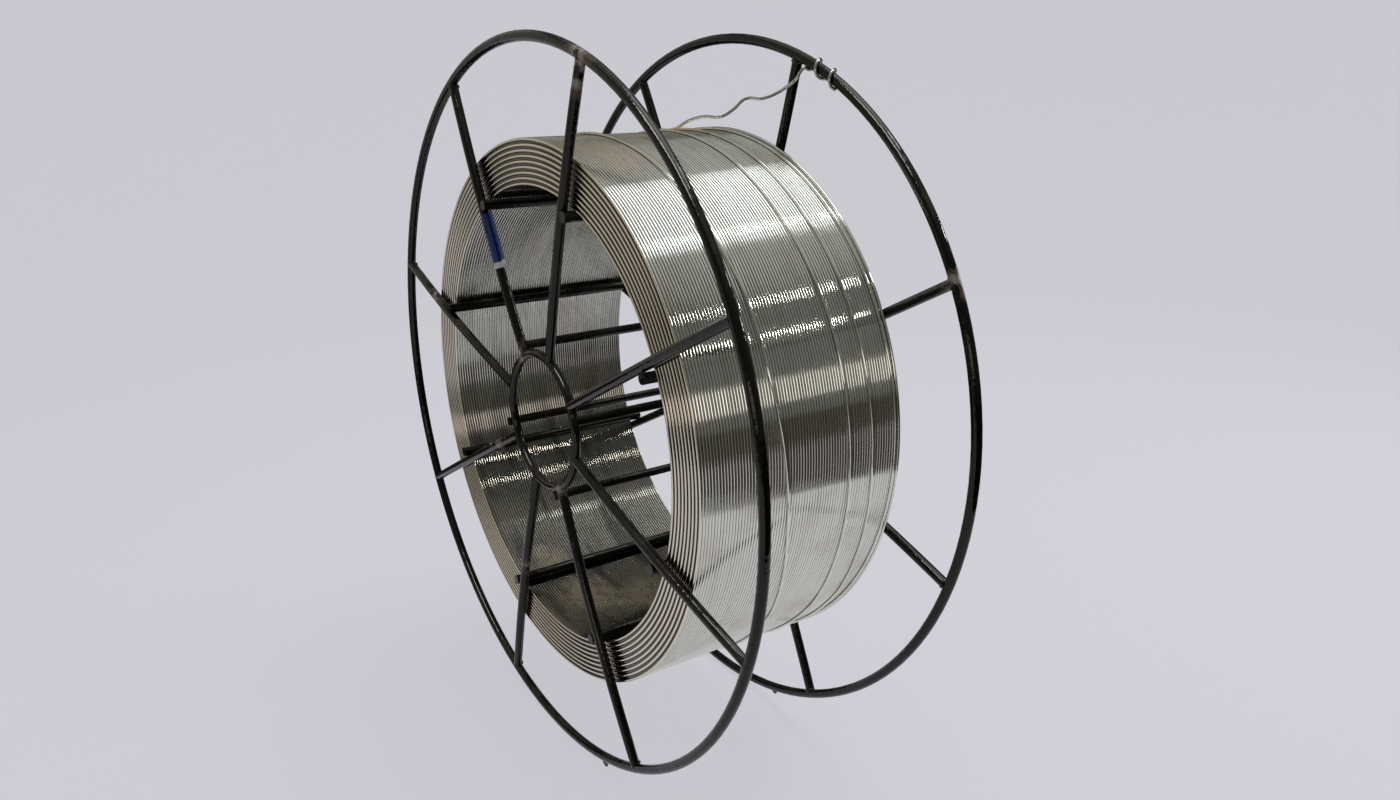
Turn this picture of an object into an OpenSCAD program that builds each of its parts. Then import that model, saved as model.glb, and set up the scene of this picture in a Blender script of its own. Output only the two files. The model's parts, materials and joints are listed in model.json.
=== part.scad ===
// Wire basket spool of welding wire: a welded frame of round steel rods that holds a
// precision layer-wound coil. The axis lies along Y, the spool stands on its two rims,
// and the origin is on the floor, halfway between the flanges and under the axis.
// All sizes are in millimetres.

/* [Flanges] */
// Diameter over the outer rims
flange_d = 300; // [250:5:400]
// Width over the two rims
rims_w = 98; // [70:1:140]
// Diameter of the rod bent into each rim
rim_rod = 4; // [3:0.2:6]
// Diameter of the spoke rods
spoke_rod = 4; // [3:0.2:5]
// Number of spokes in each flange
spoke_count = 8; // [4:2:12]
// Angle of the first spoke from straight up, towards +X
first_spoke = -27.7; // [-45:0.1:45]
// How far the middle of each spoke bows outwards, as the full coil presses on it
spoke_bow = 1.3; // [0.5:0.1:3]

/* [Drum] */
// Radius of the drum bars' centre lines about the axis
drum_r = 92.4; // [75:0.2:112]
// Diameter of the drum bars
drum_rod = 4.2; // [3:0.2:6]

/* [Hub] */
// Diameter of the arbor hole inside the hub rings
arbor_d = 53; // [40:0.5:70]
// Diameter of the rod bent into each hub ring
hub_rod = 3.6; // [3:0.2:5]
// Diameter of the bars that tie the two hub rings together
hub_bar_rod = 3.6; // [3:0.2:5]
// Angle from a spoke to the hub bar beside it
hub_bar_turn = 12; // [10:1:30]

/* [Wire] */
// Diameter of the welding wire
wire_d = 1.2; // [0.8:0.1:1.6]
// Number of layers wound on the drum
layers = 17; // [5:2:27]

/* [Hidden] */
$fn = 96;

// Slack between pieces that are seated on each other
seat = 0.05;
// Slack between the coil's ends and the spokes
end_play = 0.1;

rim_r = (flange_d - rim_rod) / 2;
axis_z = flange_d / 2;
flange_y = (rims_w - rim_rod) / 2;
spoke_step = 360 / spoke_count;
spokes = [for (i = [0 : spoke_count - 1]) i];

hub_r = (arbor_d + hub_rod) / 2;
hub_bar_r = hub_r + (hub_rod + hub_bar_rod) / 2 + seat;
hub_bars = [for (i = [0 : spoke_count / 2 - 1]) i];

// A spoke is bent to an arc that meets the planes of the rim and the hub ring at its ends
spoke_mid = (rim_r + hub_r) / 2;
spoke_span = rim_r - hub_r;
bow_r = (spoke_span * spoke_span / 4 + spoke_bow * spoke_bow) / (2 * spoke_bow);
// How far a spoke's centre line lies outside the flange's plane, at a distance from the axis
function bowed(r) = sqrt(bow_r * bow_r - (r - spoke_mid) * (r - spoke_mid)) - (bow_r - spoke_bow);

// A drum bar lies beside its spoke, and ends flush with the spoke's outer face
drum_side = (spoke_rod + drum_rod) / 2 + seat;
drum_z = sqrt(drum_r * drum_r - drum_side * drum_side);
drum_half = flange_y + bowed(drum_r) + spoke_rod / 2;

// The turns of one layer nest in the grooves of the layer below it
layer_step = wire_d * sqrt(3) / 2;
coil_in = drum_r + drum_rod / 2 + seat;
coil_out = coil_in + wire_d + (layers - 1) * layer_step;
coil_half = flange_y + min(bowed(coil_in), bowed(coil_out)) - spoke_rod / 2 - end_play;
turns = floor(2 * coil_half / (wire_d * 1.06));
turn_step = 2 * coil_half / turns;
// How far the plain faces lie below the crests of the turns
crest = wire_d * 0.06;
// How far the plain core reaches into the outermost turn at each end
bite = wire_d * 0.08;
// Sides of a turn's section
turn_sides = 12;
// Places of the unfinished last layer's turns, which lie in grooves of the full one
// below: shares of the width from the front, brought to the nearest groove
loose_y = [for (share = [0.33, 0.69, 0.82, 0.96]) round(share * turns) * turn_step - coil_half];

// The wire's free end starts beside the second loose turn and is wrapped round the back
// rim. Its way there: angle from straight up, share of the way out to the rim's centre
// line, share of the way back to it
tail_way = [
    [-12.7, 0, 0.01], [-6.7, 0, 0.02], [-0.7, 0.01, 0.05], [2.7, 0.11, 0.12],
    [5.7, 0.175, 0.24], [8.9, 0.20, 0.36], [10.5, 0.29, 0.46], [12.2, 0.44, 0.57],
    [14.9, 0.485, 0.68], [17.2, 0.60, 0.79], [18.7, 0.715, 0.84], [19.6, 0.80, 0.865]
];
tail_sides = 8;
tail_low_r = coil_out + wire_d / 2 + seat;
tail_low_y = loose_y[1] + wire_d + seat;
// The wrap: first and last angle round the rim's rod, the step between two points, the
// first point's angle from straight up, and the advance along the rim for each turn
wrap_from = 150;
wrap_to = 900;
wrap_step = 30;
wrap_angle = 19.9;
wrap_advance = 3.4;
// Radius of the wrap's points, so that the straight stretches between them clear the rod
wrap_r = (rim_rod + wire_d) / 2 / cos(wrap_step / 2) + seat;

// ---- Places ---------------------------------------------------------------

// Puts its children on the spool's axis, turned by an angle from straight up towards +X
module about_axis(angle = 0) {
    translate([0, 0, axis_z]) rotate([0, angle, 0]) children();
}

// A rod bent into a ring about the axis
module ring(r, rod, y) {
    translate([0, y, 0]) rotate([90, 0, 0]) rotate_extrude() translate([r, 0]) circle(d = rod, $fn = 32);
}

// A straight bar parallel to the axis
module cross_bar(x, z, rod, half) {
    translate([x, half, z]) rotate([90, 0, 0]) cylinder(h = 2 * half, d = rod, $fn = 32);
}

// ---- Frame ----------------------------------------------------------------

module rim(y) {
    color("#1c1c1e") about_axis() ring(rim_r, rim_rod, y);
}

module hub_ring(y) {
    color("#1c1c1e") about_axis() ring(hub_r, hub_rod, y);
}

// The bowed rod of a spoke, turned about a centre far inside the spool. The side is -1 for
// the front flange and 1 for the back one.
module bowed_rod(side) {
    reach = asin((spoke_span / 2 - min(hub_rod, rim_rod) / 4) / bow_r);
    translate([0, side * (flange_y + spoke_bow - bow_r), spoke_mid])
        rotate([0, 90, 0]) rotate([0, 0, side * 90 - reach])
            rotate_extrude(angle = 2 * reach, $fn = 720)
                translate([bow_r, 0]) circle(d = spoke_rod, $fn = 32);
}

// A spoke's ends are coped over the hub ring and the rim that they are welded to
module spoke(i, side) {
    color("#1c1c1e") about_axis(first_spoke + i * spoke_step) difference() {
        bowed_rod(side);
        ring(hub_r, hub_rod + 2 * seat, side * flange_y);
        ring(rim_r, rim_rod + 2 * seat, side * flange_y);
    }
}

module drum_bar(i) {
    color("#1c1c1e") about_axis(first_spoke + i * spoke_step)
        cross_bar(drum_side, drum_z, drum_rod, drum_half);
}

// The hub bars lie on the outside of the hub rings, one beside every second spoke
module hub_bar(i) {
    color("#1c1c1e") about_axis(first_spoke + 2 * i * spoke_step + hub_bar_turn)
        cross_bar(0, hub_bar_r, hub_bar_rod, flange_y + hub_rod / 2);
}

// ---- Wire -----------------------------------------------------------------

// Half section of the coil, with the last turn of each layer round on both ends
module coil_section() {
    core_half = coil_half - wire_d + bite;
    translate([coil_in + crest, -core_half]) square([coil_out - coil_in - 2 * crest, 2 * core_half]);
    for (k = [0 : layers - 1], side = [-1, 1]) {
        inset = (k % 2) * turn_step / 2;
        y = coil_half - wire_d / 2 - inset;
        translate([coil_in + wire_d / 2 + k * layer_step, side * y]) circle(d = wire_d, $fn = turn_sides);
    }
    for (y = loose_y)
        translate([coil_out - wire_d / 2 + layer_step, y]) circle(d = wire_d, $fn = turn_sides);
}

module wire_coil() {
    color("#b9b8b2") about_axis() rotate([-90, 0, 0]) rotate_extrude($fn = 180) coil_section();
}

// A point given by its angle from straight up, distance from the axis, and place along it
function polar(angle, r, y) = [r * sin(angle), y, axis_z + r * cos(angle)];

function tail_free() = [
    for (p = tail_way)
        polar(p[0], tail_low_r + p[1] * (rim_r - tail_low_r), tail_low_y + p[2] * (flange_y - tail_low_y))
];

function tail_wrap() = [
    for (a = [wrap_from : wrap_step : wrap_to])
        polar(wrap_angle + wrap_advance * (a - wrap_from) / 360,
              rim_r + wrap_r * cos(a), flange_y - wrap_r * sin(a))
];

// One point of the smooth curve through p1 and p2, at share t of the way between them
function curve_point(p0, p1, p2, p3, t) =
    (2 * p1 + (p2 - p0) * t + (2 * p0 - 5 * p1 + 4 * p2 - p3) * t * t
    + (3 * p1 - p0 - 3 * p2 + p3) * t * t * t) / 2;

// The free stretch, with each of its gaps split in two along the smooth curve
function smooth(path, n) = [
    for (i = [0 : n - 1], t = [0, 0.5])
        curve_point(path[max(i - 1, 0)], path[i], path[i + 1], path[i + 2], t)
];

function unit(v) = v / norm(v);

// Directions across the path, carried from one point to the next without twisting
function carried(path, i, across) =
    i == len(path) ? [] :
    let (
        way = unit(path[min(i + 1, len(path) - 1)] - path[max(i - 1, 0)]),
        side = unit(across - way * (across * way))
    ) concat([[side, cross(way, side)]], carried(path, i + 1, side));

module tube(path, d, sides) {
    frames = carried(path, 0, [0, 0, 1]);
    last = len(path) - 1;
    rings = [
        for (i = [0 : last], k = [0 : sides - 1])
            path[i] + d / 2 * (cos(k * 360 / sides) * frames[i][0] + sin(k * 360 / sides) * frames[i][1])
    ];
    walls = [
        for (i = [0 : last - 1], k = [0 : sides - 1])
            let (next = (k + 1) % sides)
            [i * sides + k, (i + 1) * sides + k, (i + 1) * sides + next, i * sides + next]
    ];
    caps = [[for (k = [0 : sides - 1]) k], [for (k = [sides - 1 : -1 : 0]) last * sides + k]];
    polyhedron(points = rings, faces = concat(walls, caps), convexity = 6);
}

module wire_tail() {
    path = concat(tail_free(), tail_wrap());
    rest = [for (i = [len(tail_way) : len(path) - 1]) path[i]];
    color("#b9b8b2") tube(concat(smooth(path, len(tail_way)), rest), wire_d, tail_sides);
}

// ---- Pieces ---------------------------------------------------------------

rim(-flange_y);  // rim_front
rim(flange_y);  // rim_back
hub_ring(-flange_y);  // hub_ring_front
hub_ring(flange_y);  // hub_ring_back
for (i = spokes) spoke(i, -1);
for (i = spokes) spoke(i, 1);
for (i = spokes) drum_bar(i);
for (i = hub_bars) hub_bar(i);
wire_coil();
wire_tail();
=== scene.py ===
"""Looks of a wire basket spool of welding wire, built around its fixed frame.

The rods of the frame keep their shape and get a dipped black paint. The wire is modelled
turn by turn: the wound coil, the loose turns on it, and the free end tied to a rim.
"""

import json
import math

import bpy
from bpy.props import FloatProperty, FloatVectorProperty, IntProperty, PointerProperty
from bpy.types import Operator, Panel, PropertyGroup
from mathutils import Matrix, Vector

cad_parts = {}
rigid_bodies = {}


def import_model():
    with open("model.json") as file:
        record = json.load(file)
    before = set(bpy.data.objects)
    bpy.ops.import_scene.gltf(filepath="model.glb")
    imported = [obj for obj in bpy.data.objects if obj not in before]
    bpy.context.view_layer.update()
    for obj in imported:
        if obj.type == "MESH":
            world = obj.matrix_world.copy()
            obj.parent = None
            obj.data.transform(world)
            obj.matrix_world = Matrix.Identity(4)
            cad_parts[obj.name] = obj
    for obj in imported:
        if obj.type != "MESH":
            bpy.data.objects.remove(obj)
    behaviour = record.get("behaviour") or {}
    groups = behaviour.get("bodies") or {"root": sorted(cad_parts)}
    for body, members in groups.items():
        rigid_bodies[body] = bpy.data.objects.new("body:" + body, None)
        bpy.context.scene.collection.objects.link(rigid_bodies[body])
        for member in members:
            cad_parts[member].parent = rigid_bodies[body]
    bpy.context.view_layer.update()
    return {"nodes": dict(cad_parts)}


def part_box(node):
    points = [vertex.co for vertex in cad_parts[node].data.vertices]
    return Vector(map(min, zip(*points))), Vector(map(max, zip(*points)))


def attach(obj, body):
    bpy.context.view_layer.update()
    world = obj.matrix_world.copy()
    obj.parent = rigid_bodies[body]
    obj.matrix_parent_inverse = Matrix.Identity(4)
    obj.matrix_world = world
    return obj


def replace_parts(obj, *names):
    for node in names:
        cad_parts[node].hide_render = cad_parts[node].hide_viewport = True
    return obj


bl_info = {
    "name": "Welding Wire Spool",
    "version": (1, 0, 0),
    "blender": (4, 5, 0),
    "location": "View3D > Sidebar > Wire Spool",
    "description": "Turns, welds, paint and studio of a basket spool of welding wire",
    "category": "Object",
}

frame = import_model()
NODES = frame["nodes"]

MM = 0.001
SPOKES = 8
SIDES = {"front": -1, "back": 1}
# Name of the mark that darkens the wire with painted shade and grime in its grooves and under its
# loose turns
GROOVE = "groove"
# How the names of the nodes made of wire start
WIRE_NODES = "wire_"
FULL_TURN = math.radians(360)
# Room between a wire and what it lies on
SEAT = 0.05 * MM


# ---- Places taken from the frame -------------------------------------------------------


def middle(node):
    """Middle of a frame node's box."""
    low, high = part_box(node)
    return (low + high) / 2


def size(node):
    """Size of a frame node's box along each axis."""
    low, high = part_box(node)
    return high - low


AXIS_Z = middle("rim_front").z
RIM_ROD = size("rim_front").y
RIM_R = (size("rim_front").x - RIM_ROD) / 2
FLANGE_Y = middle("rim_back").y
HUB_ROD = size("hub_ring_front").y
HUB_R = (size("hub_ring_front").x - HUB_ROD) / 2
COIL_HALF = size("wire_coil").y / 2
LOOSE_R = size("wire_coil").x / 2
BORE_R = 0.82 * LOOSE_R


def clock(node):
    """Angle of a node's middle about the axis, from straight up towards +X."""
    place = middle(node)
    return math.atan2(place.x, place.z - AXIS_Z)


def polar(angle, radius, y):
    """The point at an angle from straight up, a distance from the axis and a place along it."""
    return Vector((radius * math.sin(angle), y, AXIS_Z + radius * math.cos(angle)))


# Where the paint is worn: a node at its angle, the distance from the axis, the side and a reach
WORN = tuple(
    (polar(clock(node), radius, side * FLANGE_Y), reach * MM)
    for node, radius, side, reach in (
        ("spoke_front_2", RIM_R, -1, 15),
        ("spoke_front_2", RIM_R - 9 * MM, -1, 8),
        ("spoke_front_1", HUB_R, -1, 11),
        ("spoke_front_7", HUB_R + 20 * MM, -1, 15),
        ("spoke_front_8", 110 * MM, -1, 12),
        ("spoke_front_6", 80 * MM, -1, 10),
        ("spoke_front_5", HUB_R, -1, 9),
        ("spoke_back_3", RIM_R, 1, 10),
        ("spoke_back_7", RIM_R, 1, 14)))

# Where drawing soap has dried on the wire: an angle in degrees, the distance from the axis, the
# place along it and a reach
SOAPED = tuple(
    (polar(math.radians(angle), radius, y * MM), reach * MM)
    for angle, radius, y, reach in (
        (14, LOOSE_R, -34, 30),
        (-6, LOOSE_R, 26, 36),
        (2, LOOSE_R, -10, 26),
        (176, BORE_R, 4, 26),
        (188, BORE_R, -24, 20),
        (204, BORE_R, -30, 14)))


# ---- Sizes and colours that a user would change ----------------------------------------


class WireSizes(PropertyGroup):
    """Sizes of the wire and of its winding."""

    wire_d: FloatProperty(
        name="Wire diameter", description="Diameter of the welding wire",
        default=1.2 * MM, min=0.8 * MM, max=1.6 * MM, unit="LENGTH", precision=5)
    layers: IntProperty(
        name="Layers", description="Layers of wire wound on the drum", default=17, min=5, max=27)
    turns: IntProperty(
        name="Turns", description="Turns of wire in each layer", default=72, min=40, max=120)
    steps: IntProperty(
        name="Steps", description="Straight stretches in one round turn",
        default=180, min=96, max=220)
    turn_sides: IntProperty(
        name="Turn sides", description="Sides of a turn's section", default=12, min=8, max=16)
    unevenness: FloatProperty(
        name="Unevenness", description="How far a turn lies off its place",
        default=0.022 * MM, min=0, max=0.1 * MM, unit="LENGTH", precision=6)
    waviness: FloatProperty(
        name="Waviness", description="How far the winding swells and sinks",
        default=0.02 * MM, min=0, max=1 * MM, unit="LENGTH", precision=6)
    wave_length: FloatProperty(
        name="Wave length", description="Size of the swells in the winding",
        default=42 * MM, min=5 * MM, max=100 * MM, unit="LENGTH")


class FrameSizes(PropertyGroup):
    """Sizes of what the frame's welder leaves on it, and of the label round one spoke."""

    bead: FloatProperty(
        name="Weld bead", description="Thickness of the weld round a joint",
        default=0.75 * MM, min=0.2 * MM, max=2 * MM, unit="LENGTH", precision=5)
    drip: FloatProperty(
        name="Drip", description="Length of the paint drip that dried on the front rim",
        default=3.3 * MM, min=0.5 * MM, max=5 * MM, unit="LENGTH", precision=5)
    drip_angle: FloatProperty(
        name="Drip angle", description="Where the rims hung lowest while they dried",
        default=math.radians(163.5), min=0, max=2 * math.pi, unit="ROTATION")
    label_start: FloatProperty(
        name="Label start", description="Distance from the axis to the label's inner end",
        default=66 * MM, min=40 * MM, max=80 * MM, unit="LENGTH")
    label_length: FloatProperty(
        name="Label length", description="Length of the label along its spoke",
        default=23.5 * MM, min=5 * MM, max=40 * MM, unit="LENGTH")
    label_flap: FloatProperty(
        name="Label flap", description="How far the label's free edge stands off its spoke",
        default=5 * MM, min=1 * MM, max=8 * MM, unit="LENGTH")


def colour_setting(name, description, default):
    """A colour that a user would change."""
    return FloatVectorProperty(
        name=name, description=description, subtype="COLOR", default=default)


class FinishColours(PropertyGroup):
    """Colours of the finishes."""

    wire: colour_setting("Wire", "Bright drawn steel", (0.82, 0.83, 0.755))
    wire_dull: colour_setting(
        "Dull wire", "Turns with drawing soap left on them", (0.63, 0.58, 0.47))
    # Painted warm reflection of the surroundings on the coil's ends
    face_warm_reflection: colour_setting(
        "Coil face", "Soap and dust on the coil's ends", (0.82, 0.745, 0.60))
    # Darker colour of the wire seen in the bore, strongest towards its bottom
    wire_bore: colour_setting(
        "Coil bore", "Dull first layer of the wire, seen in the bore", (0.36, 0.345, 0.30))
    soap: colour_setting("Drawing soap", "Dried drawing soap on the wire", (0.78, 0.69, 0.53))
    # Colour of the painted shade and grime in the grooves and under the loose turns, and of the
    # smudges in the bore
    groove: colour_setting(
        "Grooves", "Dirt in the grooves between turns", (0.045, 0.038, 0.032))
    paint: colour_setting(
        "Paint", "Black paint that the frame was dipped in", (0.0012, 0.0011, 0.0009))
    paint_dust: colour_setting("Dust", "Dust on top of the rods", (0.15, 0.135, 0.105))
    rust: colour_setting("Rust", "Rust where the paint is thin", (0.095, 0.058, 0.038))
    bare: colour_setting("Bare steel", "Steel where the paint is chipped", (0.34, 0.33, 0.31))
    label: colour_setting("Label", "Printed colour of the label", (0.006, 0.03, 0.16))
    label_edge: colour_setting(
        "Label edge", "Unprinted paper of the label", (0.62, 0.62, 0.60))
    studio: colour_setting("Studio", "Floor and backdrop", (0.60, 0.595, 0.635))
    backdrop: colour_setting(
        "Backdrop", "Brightness that the floor and backdrop keep in the shade",
        (0.74, 0.73, 0.785))


class StudioSizes(PropertyGroup):
    """Sizes of the studio."""

    cove_r: FloatProperty(
        name="Cove radius", description="Radius of the round backdrop", default=1.7, unit="LENGTH")
    cove_bend: FloatProperty(
        name="Cove bend", description="Radius of the bend from the floor to the wall",
        default=0.7, unit="LENGTH")
    cove_h: FloatProperty(
        name="Cove height", description="Height of the backdrop", default=1.5, unit="LENGTH")
    lens: FloatProperty(name="Lens", description="Focal length of the lens, in mm", default=26.35)


# ---- Modelling helpers -----------------------------------------------------------------


def leave_edit():
    """Goes back to object mode."""
    bpy.ops.object.mode_set(mode="OBJECT")


def deselect_all():
    """Leaves edit mode and deselects everything."""
    if bpy.context.object and bpy.context.object.mode != "OBJECT":
        leave_edit()
    bpy.ops.object.select_all(action="DESELECT")


def pick(*objects):
    """Selects these objects alone and makes the first one active."""
    deselect_all()
    for obj in objects:
        obj.select_set(True)
    bpy.context.view_layer.objects.active = objects[0]


def settle(obj):
    """Puts an object's place, turn and scale in its mesh."""
    pick(obj)
    bpy.ops.object.transform_apply(location=True, rotation=True, scale=True)
    return obj


def named(name):
    """Names the active object and its mesh."""
    obj = bpy.context.object
    obj.name = name
    obj.data.name = name
    return obj


def select_points(obj, wanted):
    """Goes to edit mode with the points selected whose place passes a test."""
    pick(obj)
    chosen = [wanted(v.co) for v in obj.data.vertices]
    bpy.ops.object.mode_set(mode="EDIT")
    bpy.ops.mesh.select_mode(type="VERT")
    bpy.ops.mesh.select_all(action="DESELECT")
    leave_edit()
    for vertex, on in zip(obj.data.vertices, chosen):
        vertex.select = on
    bpy.ops.object.mode_set(mode="EDIT")
    return sum(chosen)


def drop_points(obj, wanted):
    """Deletes the points whose place passes a test."""
    select_points(obj, wanted)
    bpy.ops.mesh.delete(type="VERT")
    leave_edit()


def edit_all(obj):
    """Goes to edit mode with all of an object selected."""
    pick(obj)
    bpy.ops.object.mode_set(mode="EDIT")
    bpy.ops.mesh.select_all(action="SELECT")


def push_points(way):
    """Extrudes the selected points along a way."""
    bpy.ops.mesh.extrude_vertices_move(TRANSFORM_OT_translate={"value": way})


def add_modifier(obj, kind, **values):
    """Adds a modifier with these values and applies it."""
    pick(obj)
    modifier = obj.modifiers.new(kind.title(), kind)
    for key, value in values.items():
        setattr(modifier, key, value)
    bpy.ops.object.modifier_apply(modifier=modifier.name)


def join(name, objects):
    """Joins objects into one and names it."""
    pick(*objects)
    bpy.ops.object.join()
    return named(name)


def face_out(obj):
    """Merges doubles and turns the normals outwards."""
    edit_all(obj)
    bpy.ops.mesh.remove_doubles(threshold=0.001 * MM)
    bpy.ops.mesh.normals_make_consistent(inside=False)
    leave_edit()
    return obj


def smooth(obj, angle=180):
    """Shades an object smoothly, but for edges sharper than the angle in degrees."""
    pick(obj)
    if angle >= 180:
        bpy.ops.object.shade_smooth()
    else:
        bpy.ops.object.shade_smooth_by_angle(angle=math.radians(angle))
    return obj


def paint(obj, finish):
    """Gives an object one of the finishes."""
    obj.data.materials.clear()
    obj.data.materials.append(FINISHES[finish])
    return obj


def finish_piece(obj, finish):
    """Paints a piece and ties it to the frame."""
    paint(obj, finish)
    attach(obj, "root")
    return obj


def cloud(name, scale, depth=2):
    """A soft procedural texture that moves points three ways."""
    texture = bpy.data.textures.new(name, "CLOUDS")
    texture.noise_scale = scale
    texture.noise_depth = depth
    texture.cloud_type = "COLOR"
    return texture


def sway(obj, texture, strength):
    """Moves a mesh's points softly to and fro, neighbours together."""
    add_modifier(obj, "DISPLACE", texture=texture, texture_coords="GLOBAL",
                 direction="RGB_TO_XYZ", mid_level=0.5, strength=strength)


# ---- Shader helpers --------------------------------------------------------------------


class Nodes:
    """A small hand for wiring the nodes of one tree."""

    def __init__(self, tree):
        self.tree = tree

    def feed(self, node, inputs):
        """Links or sets a node's inputs."""
        for key, value in inputs.items():
            if isinstance(value, bpy.types.NodeSocket):
                self.tree.links.new(value, node.inputs[key])
            else:
                node.inputs[key].default_value = value
        return node

    def add(self, kind, inputs=None, **settings):
        """Adds a node, sets its settings, and links or sets its inputs."""
        node = self.tree.nodes.new(kind)
        for key, value in settings.items():
            setattr(node, key, value)
        return self.feed(node, inputs or {})

    def math(self, operation, first, second=0.0, clamp=False):
        """One operation on two values."""
        node = self.add(
            "ShaderNodeMath", {0: first, 1: second}, operation=operation, use_clamp=clamp)
        return node.outputs[0]

    def times(self, first, second):
        """The product of two values."""
        return self.math("MULTIPLY", first, second)

    def plus(self, first, second):
        """The sum of two values."""
        return self.math("ADD", first, second)

    def ramp(self, value, low, high, out_low=0.0, out_high=1.0):
        """Brings a value smoothly from one range to another."""
        inputs = {
            "Value": value, "From Min": low, "From Max": high,
            "To Min": out_low, "To Max": out_high}
        return self.add("ShaderNodeMapRange", inputs, interpolation_type="SMOOTHSTEP").outputs[0]

    def mix(self, share, first, second):
        """Mixes two colours by a share."""
        node = self.add("ShaderNodeMix", data_type="RGBA", blend_type="MIX")
        return self.feed(node, {0: share, 6: first, 7: second}).outputs[2]

    def placed(self, tree, **values):
        """Places a shader group with its own values."""
        node = self.add("ShaderNodeGroup", node_tree=tree)
        return self.feed(node, values).outputs[0]

    def noise(self, scale, detail):
        """A noise over the object."""
        inputs = {"Vector": self.place(), "Scale": scale, "Detail": detail}
        return self.add("ShaderNodeTexNoise", inputs).outputs["Fac"]

    def bump(self, height, distance):
        """A bump of a height between 0 and 1 over a distance."""
        inputs = {"Height": height, "Distance": distance, "Strength": 1.0}
        return self.add("ShaderNodeBump", inputs).outputs[0]

    def place(self):
        """The point's place on the object."""
        return self.add("ShaderNodeTexCoord").outputs["Object"]

    def about_axis(self):
        """The point's X and Y, its height above the axis, and its distance from it."""
        parts = self.add("ShaderNodeSeparateXYZ", {0: self.place()})
        x, y, z = parts.outputs
        up = self.math("SUBTRACT", z, AXIS_Z)
        squares = self.plus(self.times(x, x), self.times(up, up))
        return x, y, up, self.math("SQRT", squares)


def group_tree(name, inputs, outputs):
    """Starts a shader node group with named inputs and outputs."""
    tree = bpy.data.node_groups.new(name, "ShaderNodeTree")
    for label, default in inputs:
        socket = tree.interface.new_socket(label, in_out="INPUT", socket_type="NodeSocketFloat")
        socket.default_value = default
    for label, kind in outputs:
        tree.interface.new_socket(label, in_out="OUTPUT", socket_type=kind)
    return tree, Nodes(tree), tree.nodes.new("NodeGroupInput"), tree.nodes.new("NodeGroupOutput")


def wound_pattern_group():
    """A pattern that runs along the wound turns: long on the turn, short from one to the next."""
    tree, n, into, out = group_tree(
        "wound_pattern", [("Run", 20.0), ("Pitch", 0.0013), ("Detail", 2.0)],
        [("Value", "NodeSocketFloat")])
    x, y, up, radius = n.about_axis()
    run = into.outputs["Run"]
    way_x = n.times(n.math("DIVIDE", x, radius), run)
    way_z = n.times(n.math("DIVIDE", up, radius), run)
    across = n.math("DIVIDE", y, into.outputs["Pitch"])
    layer = n.math("DIVIDE", radius, into.outputs["Pitch"])
    place = n.add("ShaderNodeCombineXYZ", {0: way_x, 1: way_z, 2: across}).outputs[0]
    noise = n.add(
        "ShaderNodeTexNoise",
        {"Vector": place, "W": layer, "Scale": 1.0, "Detail": into.outputs["Detail"]},
        noise_dimensions="4D")
    tree.links.new(noise.outputs["Fac"], out.inputs["Value"])
    return tree


def patches_group():
    """Soft-edged patches scattered over a surface."""
    tree, n, into, out = group_tree(
        "patches", [("Scale", 100.0), ("Share", 0.3), ("Softness", 0.06), ("Roughness", 0.6)],
        [("Mask", "NodeSocketFloat")])
    noise = n.add(
        "ShaderNodeTexNoise",
        {"Vector": n.place(), "Scale": into.outputs["Scale"], "Detail": 5.0,
         "Roughness": into.outputs["Roughness"]})
    edge = n.math("SUBTRACT", 1.0, into.outputs["Share"])
    mask = n.ramp(
        noise.outputs["Fac"], n.math("SUBTRACT", edge, into.outputs["Softness"]),
        n.plus(edge, into.outputs["Softness"]))
    tree.links.new(mask, out.inputs["Mask"])
    return tree


def settled_dust_group():
    """Dust on what faces up, broken up by a soft pattern."""
    tree, n, into, out = group_tree(
        "settled_dust", [("Amount", 0.5), ("Scale", 60.0)], [("Mask", "NodeSocketFloat")])
    normal = n.add("ShaderNodeNewGeometry").outputs["Normal"]
    up = n.add("ShaderNodeSeparateXYZ", {0: normal}).outputs[2]
    broken = n.ramp(n.noise(into.outputs["Scale"], 6.0), 0.35, 0.7)
    mask = n.times(n.ramp(up, 0.25, 0.95), broken)
    mask = n.times(mask, into.outputs["Amount"])
    tree.links.new(mask, out.inputs["Mask"])
    return tree


def spots_group(name, places):
    """Soft spots round a few places, each with its reach."""
    tree, n, _, out = group_tree(name, [], [("Mask", "NodeSocketFloat")])
    here = n.place()
    mask = 0.0
    for centre, reach in places:
        away = n.add("ShaderNodeVectorMath", {0: here, 1: centre}, operation="DISTANCE")
        near = n.math("DIVIDE", away.outputs["Value"], reach)
        near = n.math("SUBTRACT", 1.0, near, clamp=True)
        mask = n.math("MAXIMUM", mask, near)
    tree.links.new(mask, out.inputs["Mask"])
    return tree


def new_material(name):
    """A material with an empty node tree, its wiring hand and its surface shader."""
    material = bpy.data.materials.new(name)
    material.use_nodes = True
    tree = material.node_tree
    tree.nodes.clear()
    n = Nodes(tree)
    shader = n.add("ShaderNodeBsdfPrincipled")
    out = n.add("ShaderNodeOutputMaterial", {"Surface": shader.outputs[0]})
    out.is_active_output = True
    return material, n, shader


def rgba(colour):
    """A colour with full alpha."""
    return (*colour, 1.0)


# ---- Finishes --------------------------------------------------------------------------


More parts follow.
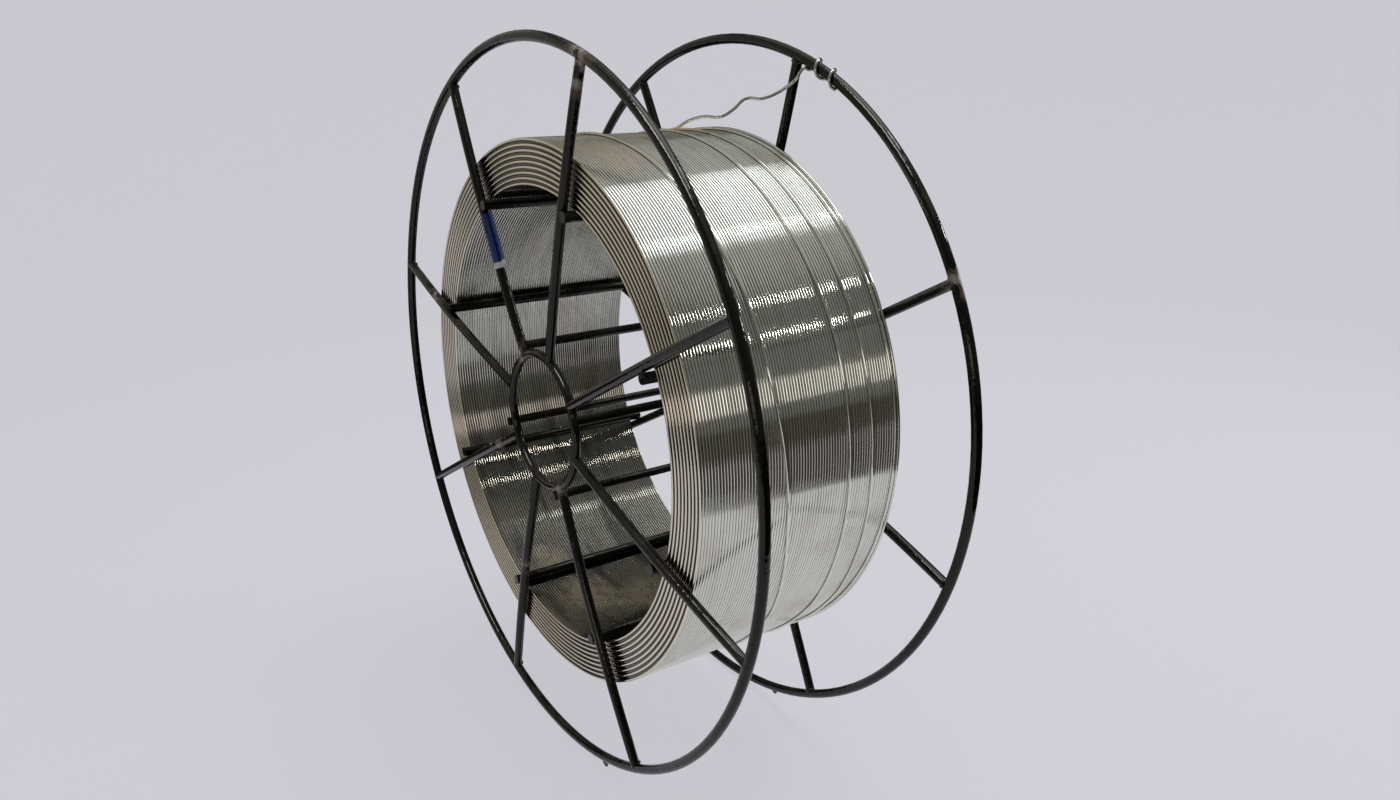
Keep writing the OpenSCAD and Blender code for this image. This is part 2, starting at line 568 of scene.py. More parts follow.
def bright_wire_finish(groups, colours, w):
    """Bright drawn steel, with duller turns, painted shade and grime in its grooves, dried soap,
    and a painted warm reflection on its ends.
    """
    material, n, shader = new_material("bright_wire")
    streaks = n.placed(groups["wound"], Run=3.0, Pitch=0.0026, Detail=3.0)
    turns = n.placed(groups["wound"], Run=2.0, Pitch=0.0016, Detail=1.0)
    smudge = n.placed(groups["wound"], Run=2.5, Pitch=0.010, Detail=2.0)
    stain = n.placed(groups["patches"], Scale=40.0, Share=0.4, Softness=0.12)
    blots = n.placed(groups["patches"], Scale=90.0, Share=0.55, Softness=0.2)
    groove = n.add("ShaderNodeAttribute", attribute_name=GROOVE).outputs["Fac"]
    _, y, up, radius = n.about_axis()

    # Where the bore and the ends are, and how much darker the bore is: most in its lowest part
    bore = n.ramp(radius, w.low_r, w.low_r + 1.5 * w.wire_r, 1.0, 0.0)
    darker_low = n.ramp(n.math("DIVIDE", up, radius), -0.5, -0.1, 0.9, 0.28)
    face = n.ramp(n.math("ABSOLUTE", y), COIL_HALF - 1.1 * MM, COIL_HALF - 0.2 * MM)

    soap = n.times(n.placed(groups["soap"]), n.plus(blots, 0.35))
    soap = n.ramp(n.times(soap, n.plus(streaks, 0.5)), 0.05, 0.8)
    smudge = n.times(n.ramp(smudge, 0.5, 0.66, 0.0, 0.6), bore)

    # Each layer of the finish: how much of it shows, and its colour
    body = rgba(colours.wire)
    for share, colour in (
            (n.times(n.ramp(streaks, 0.45, 0.75), 0.3), colours.wire_dull),
            (n.times(stain, 0.55), colours.wire_dull),
            (n.times(bore, darker_low), colours.wire_bore),
            (n.times(smudge, darker_low), colours.groove),
            (n.times(soap, 0.8), colours.soap),
            # Painted warm reflection on the coil's ends
            (n.times(face, 0.8), colours.face_warm_reflection),
            # Painted shade, with some grime, in the grooves and under the loose turns
            (n.times(n.ramp(groove, 0.2, 0.85), 0.88), colours.groove)):
        body = n.mix(share, body, rgba(colour))

    rough = n.ramp(turns, 0.3, 0.7, 0.055, 0.095)
    for mask, share in ((face, 0.06), (stain, 0.03), (soap, 0.24)):
        rough = n.plus(rough, n.times(mask, share))
    n.feed(shader, {
        "Base Color": body, "Roughness": rough, "Metallic": 1.0,
        "Normal": n.bump(turns, 0.002 * MM)})
    return material


def dipped_paint(name, groups, colours, dusty, rusty, chipped, rougher, lumps):
    """Black dipped paint, as dusty, rusty, chipped and rough as told to be.

    The lumps are the scale and the detail of the bump's noise.
    """
    material, n, shader = new_material(name)
    dust = n.placed(groups["dust"], Amount=dusty, Scale=90.0)
    rust = n.placed(groups["patches"], Scale=38.0, Share=rusty, Softness=0.05)
    speck = n.placed(groups["patches"], Scale=420.0, Share=chipped, Softness=0.02)
    flakes = n.placed(groups["patches"], Scale=260.0, Share=0.52, Softness=0.08)
    worn = n.placed(groups["worn"])
    scraped = n.ramp(n.times(worn, flakes), 0.55, 0.75, 0.0, 0.7)
    speck = n.math("MAXIMUM", speck, scraped)
    worn = n.ramp(n.times(worn, n.plus(flakes, 0.2)), 0.12, 0.6)
    rust = n.math("MAXIMUM", n.times(rust, 0.6), worn)
    colour = n.mix(dust, rgba(colours.paint), rgba(colours.paint_dust))
    colour = n.mix(n.times(rust, 0.85), colour, rgba(colours.rust))
    colour = n.mix(speck, colour, rgba(colours.bare))
    rough = n.plus(n.times(dust, 0.5), 0.06 + rougher)
    rough = n.plus(rough, n.times(rust, 0.3))
    n.feed(shader, {
        "Base Color": colour, "Roughness": rough, "Metallic": n.times(speck, 0.8),
        "Normal": n.bump(n.noise(*lumps), 0.2 * MM)})
    return material, n, shader


def black_paint_finish(groups, colours):
    """Glossy black dipped paint with runs, dust, thin spots and small chips."""
    material, n, shader = dipped_paint(
        "black_dip_paint", groups, colours, 0.3, 0.25, 0.25, 0.0, (260.0, 3.0))
    n.feed(shader, {"Specular IOR Level": 0.35, "Specular Tint": (1.0, 0.97, 0.86, 1.0)})
    return material


def weld_finish(groups, colours):
    """The same paint over rough welds, with more rust and bare spots."""
    material, _, _ = dipped_paint(
        "painted_weld", groups, colours, 0.4, 0.42, 0.36, 0.12, (900.0, 4.0))
    return material


def label_finish(groups, colours, start, length):
    """Printed paper: a plain blue field with an unprinted margin at its inner end."""
    material, n, shader = new_material("label_paper")
    _, _, _, radius = n.about_axis()
    margin = n.ramp(radius, start + 0.1 * length, start + 0.11 * length, 1.0, 0.0)
    scuff = n.placed(groups["patches"], Scale=500.0, Share=0.33, Softness=0.05)
    colour = n.mix(margin, rgba(colours.label), rgba(colours.label_edge))
    colour = n.mix(n.times(scuff, 0.25), colour, rgba(colours.label_edge))
    n.feed(shader, {
        "Base Color": colour, "Roughness": n.ramp(scuff, 0.0, 1.0, 0.32, 0.6),
        "Normal": n.bump(n.noise(300.0, 2.0), 0.15 * MM)})
    return material


def studio_finish(colours):
    """Pale matt floor and backdrop, which keep part of the shade that falls on them."""
    material, n, shader = new_material("studio_paper")
    glow_share = 0.7
    n.feed(shader, {
        "Base Color": rgba(colours.studio), "Roughness": 0.9, "Specular IOR Level": 0.1})
    ray = n.add("ShaderNodeLightPath")
    seen = n.math("MAXIMUM", ray.outputs["Is Camera Ray"], ray.outputs["Is Glossy Ray"])
    seen = n.math("MAXIMUM", seen, ray.outputs["Is Transmission Ray"])
    seen = n.times(seen, glow_share)
    glow = n.add("ShaderNodeEmission", {"Color": rgba(colours.backdrop), "Strength": 1.0})
    mixed = n.add("ShaderNodeMixShader", {0: seen, 1: shader.outputs[0], 2: glow.outputs[0]})
    for node in material.node_tree.nodes:
        if node.bl_idname == "ShaderNodeOutputMaterial":
            n.feed(node, {"Surface": mixed.outputs[0]})
    return material


def flag_finish(name, colour):
    """Glowing sheet for a studio flag of cloth or card, shining at the brightness that its
    reflection shows.
    """
    material, n, shader = new_material(name)
    n.feed(shader, {
        "Base Color": rgba((0.0, 0.0, 0.0)), "Specular IOR Level": 0.0,
        "Emission Color": rgba(colour), "Emission Strength": 1.0})
    return material


FINISHES = {}


def make_finishes():
    """Builds the shader groups and the finishes once."""
    colours = bpy.context.scene.spool_colours
    sizes = bpy.context.scene.spool_frame
    groups = {
        "wound": wound_pattern_group(),
        "patches": patches_group(),
        "dust": settled_dust_group(),
        "worn": spots_group("worn_places", WORN),
        "soap": spots_group("soaped_places", SOAPED),
    }
    FINISHES["wire"] = bright_wire_finish(groups, colours, Winding(bpy.context.scene.spool_wire))
    FINISHES["paint"] = black_paint_finish(groups, colours)
    FINISHES["weld"] = weld_finish(groups, colours)
    FINISHES["label"] = label_finish(groups, colours, sizes.label_start, sizes.label_length)
    FINISHES["studio"] = studio_finish(colours)
    for name, flag in FLAGS.items():
        FINISHES[name] = flag_finish(name + "_cloth", flag[0])


# ---- Wire ------------------------------------------------------------------------------


class Winding:
    """Places worked out from the wire's sizes and the frame."""

    def __init__(self, wire):
        self.wire_r = wire.wire_d / 2
        self.turn_step = 2 * COIL_HALF / wire.turns
        self.layer_step = wire.wire_d * math.sqrt(3) / 2
        self.top_r = LOOSE_R - self.wire_r - self.layer_step
        self.low_r = self.top_r - (wire.layers - 1) * self.layer_step
        self.first_y = self.turn_step / 2 - COIL_HALF
        # How far a loose turn lies above the full layer, a little sunk between its turns
        self.loose_rise = 0.93 * wire.wire_d


def add_arc(y, radius, wire_r, sides, facing, reach):
    """Half of a turn's section: a circle above the axis, cut to the side that faces out."""
    centre = Vector((0, y, AXIS_Z + radius))
    deselect_all()
    bpy.ops.mesh.primitive_circle_add(
        vertices=sides, radius=wire_r, location=centre, rotation=(0, math.radians(90), 0))
    arc = settle(bpy.context.object)
    limit = math.cos(math.radians(reach + 1))
    drop_points(arc, lambda co: (co - centre).normalized().dot(facing) < limit)
    return arc


def row_of(arc, count, offset):
    """Repeats an arc in a straight row."""
    add_modifier(arc, "ARRAY", count=count, use_relative_offset=False,
                 use_constant_offset=True, constant_offset_displace=offset)
    return arc


def half_section(wire):
    """Closed section of the coil's front half: outer turns, end of each layer, and bore."""
    w = Winding(wire)

    def turns(y, radius, facing, reach, count, offset):
        """A row of arcs that face one way."""
        arc = add_arc(y, radius, w.wire_r, wire.turn_sides, Vector(facing), reach)
        return row_of(arc, count, offset)

    along = (0, w.turn_step, 0)
    inwards = (0, 0, -2 * w.layer_step)
    half = wire.turns // 2
    outer = turns(w.first_y, w.top_r, (0, 0, 1), 90, half, along)
    bore = turns(w.first_y, w.low_r, (0, 0, -1), 90, half, along)
    # On the end face every other layer stands out by half a turn
    proud = turns(w.first_y, w.top_r, (0, -1, 0), 120, wire.layers // 2 + 1, inwards)
    sunk = turns(
        w.first_y + w.turn_step / 2, w.top_r - w.layer_step, (0, -1, 0), 60,
        wire.layers // 2, inwards)
    near = 0.01 * MM
    drop_points(proud, lambda co: not w.low_r - near < co.z - AXIS_Z < w.top_r + near)
    section = join("section", [outer, bore, proud, sunk])
    edit_all(section)
    bpy.ops.mesh.remove_doubles(threshold=0.1 * MM)
    leave_edit()
    last = max(v.co.y for v in section.data.vertices)
    select_points(section, lambda co: co.y > last - near)
    bpy.ops.transform.translate(value=(0, -last, 0))
    bpy.ops.mesh.edge_face_add()
    leave_edit()
    return section


def spin_round(obj, steps):
    """Turns a section once about the spool's axis."""
    edit_all(obj)
    bpy.ops.mesh.spin(
        steps=steps, angle=FULL_TURN, center=(0, 0, AXIS_Z), axis=(0, 1, 0),
        use_auto_merge=True)
    leave_edit()
    return face_out(obj)


def mark_grooves(obj, depth):
    """Writes how deep each point lies in the grooves between turns, from 0 on a crest to 1; the
    wire's finish darkens by it, as painted shade and grime.
    """
    depths = []
    for vertex in obj.data.vertices:
        co = vertex.co
        depths.append(max(0.0, min(1.0, depth(co, math.hypot(co.x, co.z - AXIS_Z)))))
    mark = obj.data.attributes.new(GROOVE, "FLOAT", "POINT")
    mark.data.foreach_set("value", depths)


class SPOOL_OT_coil(Operator):
    """Model the wound coil: its outer turns, the end of each layer, and its bore"""

    bl_idname = "spool.coil"
    bl_label = "Wound coil"

    def execute(self, context):
        """Turns the section of each half about the axis and lets the winding sway."""
        wire = context.scene.spool_wire
        w = Winding(wire)
        texture = cloud("winding_waves", wire.wave_length)
        halves = []
        for name, side in SIDES.items():
            half = half_section(wire)
            half.name = "coil_" + name
            half.data.name = half.name
            if side > 0:
                half.scale.y = -1
                settle(half)
            edit_all(half)
            bpy.ops.transform.vertex_random(offset=wire.unevenness, seed=3 + side)
            leave_edit()
            spin_round(half, wire.steps)
            # Painted shade and grime, deepest in the grooves between turns
            mark_grooves(half, lambda co, radius: min(
                COIL_HALF - abs(co.y), w.top_r + w.wire_r - radius,
                radius - w.low_r + w.wire_r) / w.wire_r)
            sway(half, texture, wire.waviness)
            smooth(half)
            finish_piece(half, "wire")
            halves.append(half)
        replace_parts(halves[0], "wire_coil")
        return {"FINISHED"}


def between(rows, step):
    """Fills in rows of numbers along their first one, at about an even step."""
    filled = []
    for first, last in zip(rows, rows[1:]):
        count = max(1, round((last[0] - first[0]) / step))
        for k in range(count):
            filled.append(tuple(p + (q - p) * k / count for p, q in zip(first, last)))
    return filled + [rows[-1]]


def lay_wire(name, points, wire):
    """Draws a wire through points as a round curve, and makes it a mesh."""
    curve = bpy.data.curves.new(name, "CURVE")
    curve.dimensions = "3D"
    curve.bevel_depth = wire.wire_d / 2
    curve.bevel_resolution = 3
    curve.resolution_u = 4
    curve.use_fill_caps = True
    spline = curve.splines.new("BEZIER")
    spline.bezier_points.add(len(points) - 1)
    for knot, place in zip(spline.bezier_points, points):
        knot.co = place
        knot.handle_left_type = "AUTO"
        knot.handle_right_type = "AUTO"
    strand = bpy.data.objects.new(name, curve)
    bpy.context.scene.collection.objects.link(strand)
    pick(strand)
    bpy.ops.object.convert(target="MESH")
    strand = named(name)
    w = Winding(wire)
    low = w.top_r + w.loose_rise
    off_coil = low + 1.2 * wire.wire_d
    # The low side of a loose turn, where it lies on the layer, gets painted shade; the stretch
    # that leaves the coil is dull all over
    mark_grooves(strand, lambda co, radius: max(
        (low - radius) / w.wire_r, 0.5 * (radius > off_coil)))
    face_out(strand)
    smooth(strand, 60)
    return finish_piece(strand, "wire")


def over_layer(rows, wire):
    """Points of a wire that lies on the full layer; each row is an angle, a place and a rise."""
    w = Winding(wire)
    step = 5
    return [
        polar(math.radians(angle), w.top_r + rise * w.loose_rise, place * COIL_HALF)
        for angle, place, rise in between(rows, step)]


class SPOOL_OT_loose_turns(Operator):
    """Model the turns of the unfinished last layer"""

    bl_idname = "spool.loose_turns"
    bl_label = "Loose turns"

    rows = (
        (-120, 0.31, 0), (-100, 0.33, 1), (0, 0.362, 1), (20, 0.366, 1), (45, 0.385, 1),
        (60, 0.413, 1), (75, 0.43, 1), (90, 0.45, 1), (110, 0.49, 1), (125, 0.54, 1),
        (180, 0.565, 1), (365, 0.605, 1), (400, 0.62, 1), (420, 0.655, 1), (450, 0.69, 1),
        (470, 0.745, 1), (485, 0.80, 1), (540, 0.835, 1), (720, 0.87, 1), (750, 0.89, 1),
        (780, 0.92, 1), (800, 0.935, 1), (850, 0.93, 1), (1000, 0.945, 1), (1080, 0.955, 1),
        (1170, 0.97, 1), (1220, 0.98, 1), (1235, 0.985, 0))

    def execute(self, context):
        """Lays a few wide turns over the full layer."""
        wire = context.scene.spool_wire
        lay_wire("loose_turns", over_layer(self.rows, wire), wire)
        return {"FINISHED"}


class SPOOL_OT_tail(Operator):
    """Model the wire's free end, which is wrapped round the back rim"""

    bl_idname = "spool.tail"
    bl_label = "Free end of the wire"

    rows = (
        (-110, -0.46, 0), (-92, -0.45, 1), (0, -0.40, 1), (25, -0.37, 1), (45, -0.325, 1),
        (55, -0.295, 1), (70, -0.275, 1), (85, -0.21, 1), (100, -0.148, 1), (110, -0.08, 1),
        (123, 0.01, 1), (180, 0.12, 1), (270, 0.29, 1), (325, 0.395, 1), (340, 0.412, 1))

    # The way up to the rim: angle, share of the way out, share of the way to the rim's side
    rise = (
        (-12.7, 0, 0.01), (-6.7, 0, 0.02), (-0.7, 0.01, 0.05), (2.7, 0.11, 0.12),
        (5.7, 0.175, 0.24), (8.9, 0.20, 0.36), (10.5, 0.29, 0.46), (12.2, 0.44, 0.57),
        (14.9, 0.485, 0.68), (17.2, 0.60, 0.79), (18.7, 0.715, 0.84), (19.6, 0.80, 0.865))

    # The wrap: first and last angle round the rim's rod, the step between two points, its
    # first angle from straight up, and how far along the rim one turn of it takes the wire
    wrap_from = 150
    wrap_to = 900
    wrap_step = 30
    wrap_angle = 19.9
    wrap_advance = 3.4

    # The loose turn beside which the end comes up, as a share of all turns
    beside = 0.69

    def way(self, wire):
        """Points along the free end: up from the coil, then round the rim's rod."""
        w = Winding(wire)
        low_r = w.top_r + wire.wire_d + SEAT
        loose_y = round(self.beside * wire.turns) * w.turn_step - COIL_HALF
        low_y = loose_y + wire.wire_d + SEAT
        points = over_layer(self.rows, wire)
        for angle, out, back in self.rise:
            points.append(polar(
                math.radians(angle), low_r + out * (RIM_R - low_r),
                low_y + back * (FLANGE_Y - low_y)))
        # Far enough out for the straight stretches between the points to clear the rod
        wrap_r = (RIM_ROD / 2 + w.wire_r) / math.cos(math.radians(self.wrap_step / 2)) + SEAT
        for turned in range(self.wrap_from, self.wrap_to + 1, self.wrap_step):
            share = (turned - self.wrap_from) / 360
            angle = math.radians(self.wrap_angle + self.wrap_advance * share)
            a = math.radians(turned)
            points.append(polar(
                angle, RIM_R + wrap_r * math.cos(a), FLANGE_Y - wrap_r * math.sin(a)))
        return points

    def execute(self, context):
        """Lays the last loose turn, and leads its end up to the rim."""
        wire = context.scene.spool_wire
        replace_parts(lay_wire("free_end", self.way(wire), wire), "wire_tail")
        return {"FINISHED"}


# ---- Frame -----------------------------------------------------------------------------


def add_bead(place, along, length, radius, thickness, seed):
    """A lumpy collar of weld round a rod: its place, the rod's direction and its sizes."""
    deselect_all()
    turn = Vector((0, 0, 1)).rotation_difference(along).to_euler()
    bpy.ops.mesh.primitive_torus_add(
        major_segments=16, minor_segments=8, major_radius=radius, minor_radius=thickness,
        location=place, rotation=turn)
    bead = bpy.context.object
    bead.scale.z = length / thickness
    edit_all(settle(bead))
    bpy.ops.transform.vertex_random(offset=thickness * 0.3, seed=seed)
    bpy.ops.mesh.vertices_smooth(factor=0.35, repeat=1)
    leave_edit()
    return bead


def add_drip(angle, y, length):
    """A drop of paint that dried as it hung from a rim: a soft cone, wider along the rim."""
    deselect_all()
    rod_r = RIM_ROD / 2
    depth = rod_r + length
    bpy.ops.mesh.primitive_cone_add(
        vertices=12, radius1=0.97 * rod_r, radius2=0.2 * rod_r, depth=depth,
        location=polar(angle, RIM_R + depth / 2, y), rotation=(0, angle, 0))
    drip = bpy.context.object
    drip.scale.x = 1.8
    return settle(drip)


class SPOOL_OT_welds(Operator):
    """Model the welds where the spokes meet the rims and the hub rings, and the paint's drips"""

    bl_idname = "spool.welds"
    bl_label = "Welds"

    # Each rim's drip, as a share of the longest
    drips = {"front": 1, "back": 0.6}
    bead_length = 1.6 * MM

    def flange(self, name, side, sizes):
        """The drip and the beads of one flange: one bead at each end of each spoke."""
        beads = [add_drip(sizes.drip_angle, side * FLANGE_Y, sizes.drip * self.drips[name])]
        rim_end = RIM_R - RIM_ROD / 2 - 0.2 * MM
        hub_end = HUB_R + HUB_ROD / 2 + 0.2 * MM
        for i in range(SPOKES):
            angle = clock("spoke_%s_%d" % (name, i + 1))
            out = Vector((math.sin(angle), 0, math.cos(angle)))
            for radius, end in ((rim_end, 1), (hub_end, 2)):
                place = polar(angle, radius, side * (FLANGE_Y - 0.3 * MM))
                seed = 10 * i + end
                beads.append(add_bead(
                    place, out, sizes.bead * 0.8, self.bead_length, sizes.bead, seed))
        return beads

    def execute(self, context):
        """Joins the beads and the drip of each flange into one soft piece."""
        for name, side in SIDES.items():
            beads = self.flange(name, side, context.scene.spool_frame)
            welds = join("welds_" + name, beads)
            face_out(welds)
            add_modifier(welds, "SUBSURF", levels=1, render_levels=1)
            smooth(welds)
            finish_piece(welds, "weld")
        return {"FINISHED"}


class SPOOL_OT_paint(Operator):
    """Give the rods of the frame their dipped black paint"""

    bl_idname = "spool.paint"
    bl_label = "Frame paint"

    def execute(self, context):
        """Paints each rod of the frame, and gives the frame's wire nodes the wire's finish."""
        for name, node in NODES.items():
            finish = "wire" if name.startswith(WIRE_NODES) else "paint"
            node.material_slots[0].material = FINISHES[finish]
        return {"FINISHED"}


class SPOOL_OT_label(Operator):
    """Model the paper label folded round a spoke"""

    bl_idname = "spool.label"
    bl_label = "Label"

    # Stretches along the label, how much wider it is than its rod, and how far the bowed
    # spoke stands out from its flange there
    strips = 12
    room = 0.1 * MM
    bow = 1.15 * MM

    def execute(self, context):
        """Bends a strip round the first front spoke and lets its free edge stand off."""
        sizes = context.scene.spool_frame
        angle = clock("spoke_front_1")
        out = Vector((math.sin(angle), 0, math.cos(angle)))
        tangent = Vector((math.cos(angle), 0, -math.sin(angle)))
        ring_r = RIM_ROD / 2 + self.room
        deselect_all()
        bpy.ops.mesh.primitive_circle_add(vertices=28, radius=1.0)
        ring = bpy.context.object
        ring.scale = (ring_r, ring_r, 1)
        settle(ring)
        ring.location = polar(angle, sizes.label_start, -FLANGE_Y - self.bow)
        ring.rotation_euler = Matrix.Rotation(angle, 4, "Y").to_euler()
        settle(ring)
        points = [vertex.co.copy() for vertex in ring.data.vertices]
        edge = max(points, key=lambda co: co.dot(tangent))
        select_points(ring, lambda co: (co - edge).length < 1e-6)
        for _ in range(2):
            push_points(tangent * sizes.label_flap * 0.5)
        bpy.ops.mesh.select_all(action="SELECT")
        for _ in range(self.strips):
            bpy.ops.mesh.extrude_edges_move(
                TRANSFORM_OT_translate={"value": out * sizes.label_length / self.strips})
        leave_edit()
        label = named("label")
        sway(label, cloud("label_creases", 6 * MM), 0.3 * MM)
        add_modifier(label, "SOLIDIFY", thickness=0.1 * MM, offset=0)
        face_out(label)
        smooth(label, 50)
        finish_piece(label, "label")
        return {"FINISHED"}


# ---- Studio ----------------------------------------------------------------------------

# How far the lamps stand from the coil's middle
LAMP_AWAY = 0.95

COOL = (0.93, 1.0, 1.06)
WARM = (1.0, 0.92, 0.88)
PLAIN = (1.0, 1.0, 1.0)

# Soft lamp overhead: both ends, width, brightness and tint
SOFT_TOP = ((0.11, -0.15, 1.15), (-0.05, 0.62, 1.15), 0.6, 2.2, COOL)

# Lamps round the coil: azimuth and elevation of both ends in degrees, width, brightness, tint
LAMPS = {
    "tube": ((24, 61.5), (42, 68.6), 0.055, 14, COOL),
    "far_high": ((15.2, 26.4), (24.8, 30.6), 0.036, 27, PLAIN),
    "far_low": ((14, 15.3), (26, 20.7), 0.017, 45, PLAIN),
    "front_right": ((114, 13), (160, 3.5), 0.12, 1.3, WARM),
    "front_glint": ((140, 58), (200, 62), 0.2, 13, PLAIN),
}

# Flags, glowing sheets which only show as reflections: colour, distance from the spool,
# height, and the azimuths between which they hang, in degrees
FLAGS = {
    "far_flag": ((0.15, 0.153, 0.148), 1.0, 1.25, -180, 180),
    "near_flag": ((0.045, 0.036, 0.029), 0.4, 0.188, -30, 120),
    "left_flag": ((0.05, 0.045, 0.04), 0.3, 0.14, -140, -30),
    "front_card": ((0.42, 0.40, 0.355), 0.95, 0.9, -178, -80),
}

# The camera looks down on the front flange from the right
CAMERA_PLACE = (0.36685, -0.22432, 0.28881)
CAMERA_DOWN = math.radians(21.17)
CAMERA_TURN = math.radians(55.44)
CAMERA_SHIFT = (0.00514, 0.04237)
SENSOR_WIDTH = 36


def add_lamp(name, start, end, width, radiance, tint):
    """A flat lamp from one point to another, facing the coil, as bright as its face shows."""
    light = bpy.data.lights.new(name, "AREA")
    light.shape = "RECTANGLE"
    along = end - start
    light.size = along.length
    light.size_y = width
    light.energy = radiance * math.pi * along.length * width
    light.color = tint
    lamp = bpy.data.objects.new(name, light)
    bpy.context.scene.collection.objects.link(lamp)
    place = (start + end) / 2
    along = along.normalized()
    back = place - Vector((0, 0, AXIS_Z))
    back = (back - back.dot(along) * along).normalized()
    turn = Matrix((along, back.cross(along), back)).transposed().to_4x4()
    lamp.matrix_world = Matrix.Translation(place) @ turn
    lamp.visible_camera = False
    return lamp


def around(azimuth, elevation):
    """A lamp's place: azimuth from +Y towards +X, and elevation, in degrees."""
    a = math.radians(azimuth)
    e = math.radians(elevation)
    return Vector((
        LAMP_AWAY * math.cos(e) * math.sin(a), LAMP_AWAY * math.cos(e) * math.cos(a),
        AXIS_Z + LAMP_AWAY * math.sin(e)))


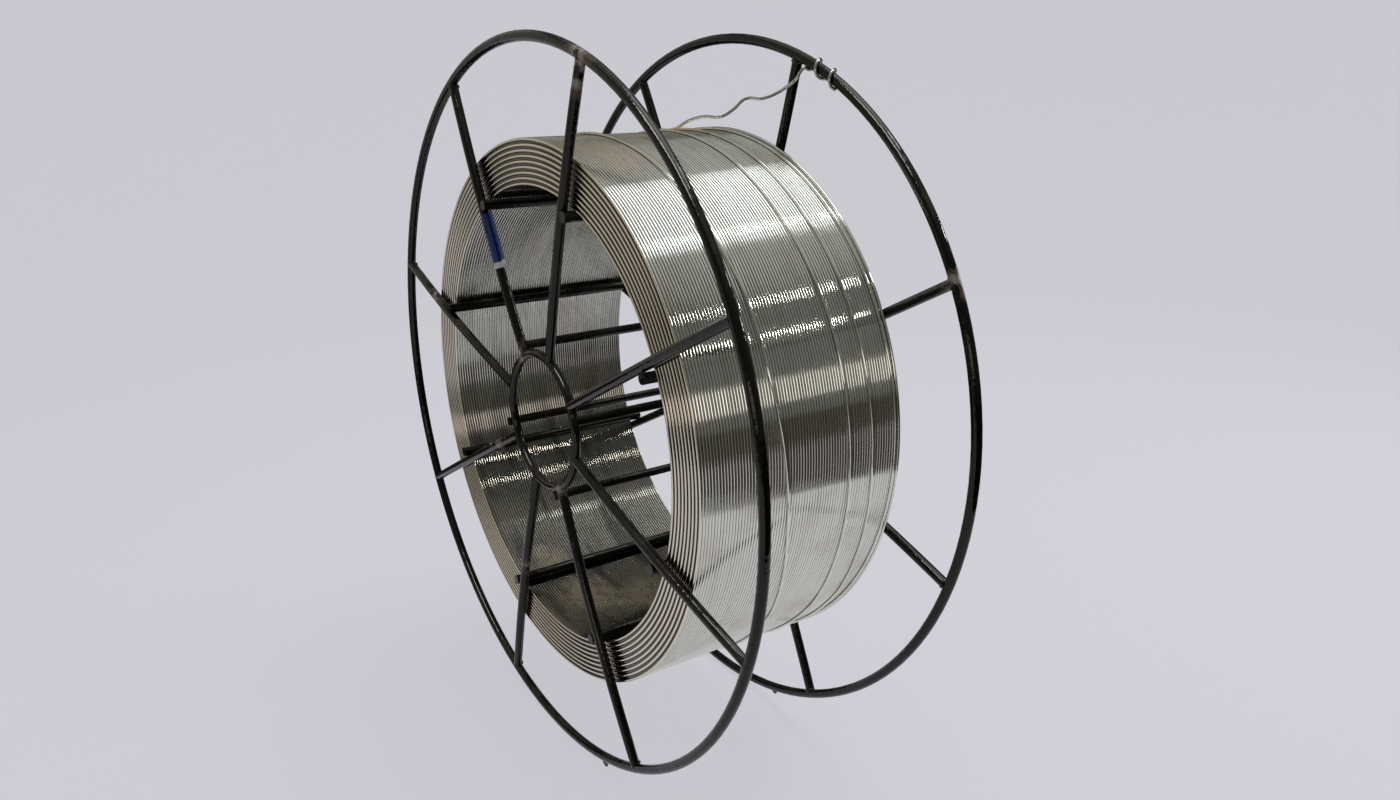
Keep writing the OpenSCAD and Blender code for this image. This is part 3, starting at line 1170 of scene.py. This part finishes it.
class SPOOL_OT_stage(Operator):
    """Set up the floor, backdrop, lamps and camera"""

    bl_idname = "spool.stage"
    bl_label = "Studio"

    def cove(self, studio):
        """A round floor that bends up into a wall all round."""
        deselect_all()
        bend = studio.cove_bend
        centre = Vector((0, studio.cove_r - bend, bend))
        bpy.ops.mesh.primitive_circle_add(
            vertices=96, radius=bend, location=centre, rotation=(0, math.radians(90), 0))
        arc = settle(bpy.context.object)
        near = 0.1 * MM
        drop_points(arc, lambda co: co.y < centre.y - near or co.z > centre.z + near)
        select_points(arc, lambda co: co.z < near)
        for _ in range(2):
            push_points((0, -centre.y / 2, 0))
        leave_edit()
        select_points(arc, lambda co: co.z > bend - near)
        push_points((0, 0, studio.cove_h - bend))
        bpy.ops.mesh.select_all(action="SELECT")
        bpy.ops.mesh.spin(
            steps=96, angle=FULL_TURN, center=(0, 0, 0), axis=(0, 0, 1), use_auto_merge=True)
        leave_edit()
        cove = named("studio_cove")
        face_out(cove)
        smooth(cove)
        return paint(cove, "studio")

    def flag(self, name):
        """A glowing sheet for dark cloth or pale card hung round the spool, which only shows as a
        reflection.
        """
        _, radius, height, first, last = FLAGS[name]
        deselect_all()
        bpy.ops.mesh.primitive_cylinder_add(
            vertices=144, radius=radius, depth=height, end_fill_type="NOTHING",
            location=(0, 0, height / 2 + 2 * MM))
        flag = settle(named(name))
        if last - first < 360:
            drop_points(flag, lambda co: not (
                first <= math.degrees(math.atan2(co.x, co.y)) <= last))
        smooth(flag)
        flag.visible_camera = False
        flag.visible_diffuse = False
        flag.visible_shadow = False
        return paint(flag, name)

    def lamps(self):
        """One wide soft lamp overhead and a few narrow ones that draw lines on the wire."""
        start, end, *looks = SOFT_TOP
        add_lamp("soft_top", Vector(start), Vector(end), *looks)
        for name, (start, end, *looks) in LAMPS.items():
            add_lamp(name, around(*start), around(*end), *looks)

    def glint(self):
        """Keeps the lamp in front to the highlights on the rods' glossy black paint."""
        lamp = bpy.data.objects["front_glint"]
        lamp.visible_diffuse = False
        painted = bpy.data.collections.new("painted")
        for name, node in NODES.items():
            if not name.startswith(WIRE_NODES):
                painted.objects.link(node)
        lamp.light_linking.receiver_collection = painted

    def world(self):
        """A plain pale surrounding light."""
        world = bpy.data.worlds.new("studio_world")
        bpy.context.scene.world = world
        world.use_nodes = True
        tree = world.node_tree
        n = Nodes(tree)
        tree.nodes.clear()
        back = n.add("ShaderNodeBackground", {"Color": rgba(PLAIN), "Strength": 0.45})
        n.add("ShaderNodeOutputWorld", {"Surface": back.outputs[0]})

    def camera(self, studio):
        """The camera, on the right of the front flange and above it."""
        data = bpy.data.cameras.new("camera")
        data.lens = studio.lens
        data.sensor_width = SENSOR_WIDTH
        data.shift_x, data.shift_y = CAMERA_SHIFT
        data.clip_start = 0.01
        camera = bpy.data.objects.new("camera", data)
        bpy.context.scene.collection.objects.link(camera)
        camera.location = CAMERA_PLACE
        camera.rotation_euler = (math.radians(90) - CAMERA_DOWN, 0, CAMERA_TURN)
        bpy.context.scene.camera = camera

    def execute(self, context):
        """Builds the studio."""
        studio = context.scene.spool_studio
        self.cove(studio)
        [self.flag(name) for name in FLAGS]
        self.lamps()
        self.glint()
        self.world()
        self.camera(studio)
        context.scene.view_settings.view_transform = "Standard"
        return {"FINISHED"}


# ---- Add-on ----------------------------------------------------------------------------


class SPOOL_PT_panel(Panel):
    """Lists the spool's pieces in the sidebar"""

    bl_idname = "SPOOL_PT_panel"
    bl_label = "Wire Spool"
    bl_space_type = "VIEW_3D"
    bl_region_type = "UI"
    bl_category = "Wire Spool"

    def draw(self, context):
        """Draws the sizes, the colours and a button for each operator."""
        for name in GROUPS:
            group = getattr(context.scene, name)
            box = self.layout.box()
            for key in group.bl_rna.properties.keys():
                if key not in ("rna_type", "name"):
                    box.prop(group, key)
        for operator in OPERATORS:
            self.layout.operator(operator.bl_idname)


GROUPS = {
    "spool_wire": WireSizes,
    "spool_frame": FrameSizes,
    "spool_colours": FinishColours,
    "spool_studio": StudioSizes,
}
OPERATORS = (
    SPOOL_OT_paint, SPOOL_OT_coil, SPOOL_OT_loose_turns, SPOOL_OT_tail, SPOOL_OT_welds,
    SPOOL_OT_label, SPOOL_OT_stage)


def register():
    """Registers the classes and ties the settings to the scene."""
    for cls in (*GROUPS.values(), *OPERATORS, SPOOL_PT_panel):
        bpy.utils.register_class(cls)
    for name, cls in GROUPS.items():
        setattr(bpy.types.Scene, name, PointerProperty(type=cls))


def unregister():
    """Takes the classes and the settings away again."""
    for name in GROUPS:
        delattr(bpy.types.Scene, name)
    for cls in (SPOOL_PT_panel, *reversed(OPERATORS), *reversed(GROUPS.values())):
        bpy.utils.unregister_class(cls)


def main():
    """Builds every piece in order."""
    for obj in [o for o in bpy.data.objects if o.name in ("Cube", "Light", "Camera")]:
        bpy.data.objects.remove(obj)
    register()
    make_finishes()
    bpy.ops.spool.paint()
    bpy.ops.spool.coil()
    bpy.ops.spool.loose_turns()
    bpy.ops.spool.tail()
    bpy.ops.spool.welds()
    bpy.ops.spool.label()
    bpy.ops.spool.stage()


if __name__ == "__main__":
    main()
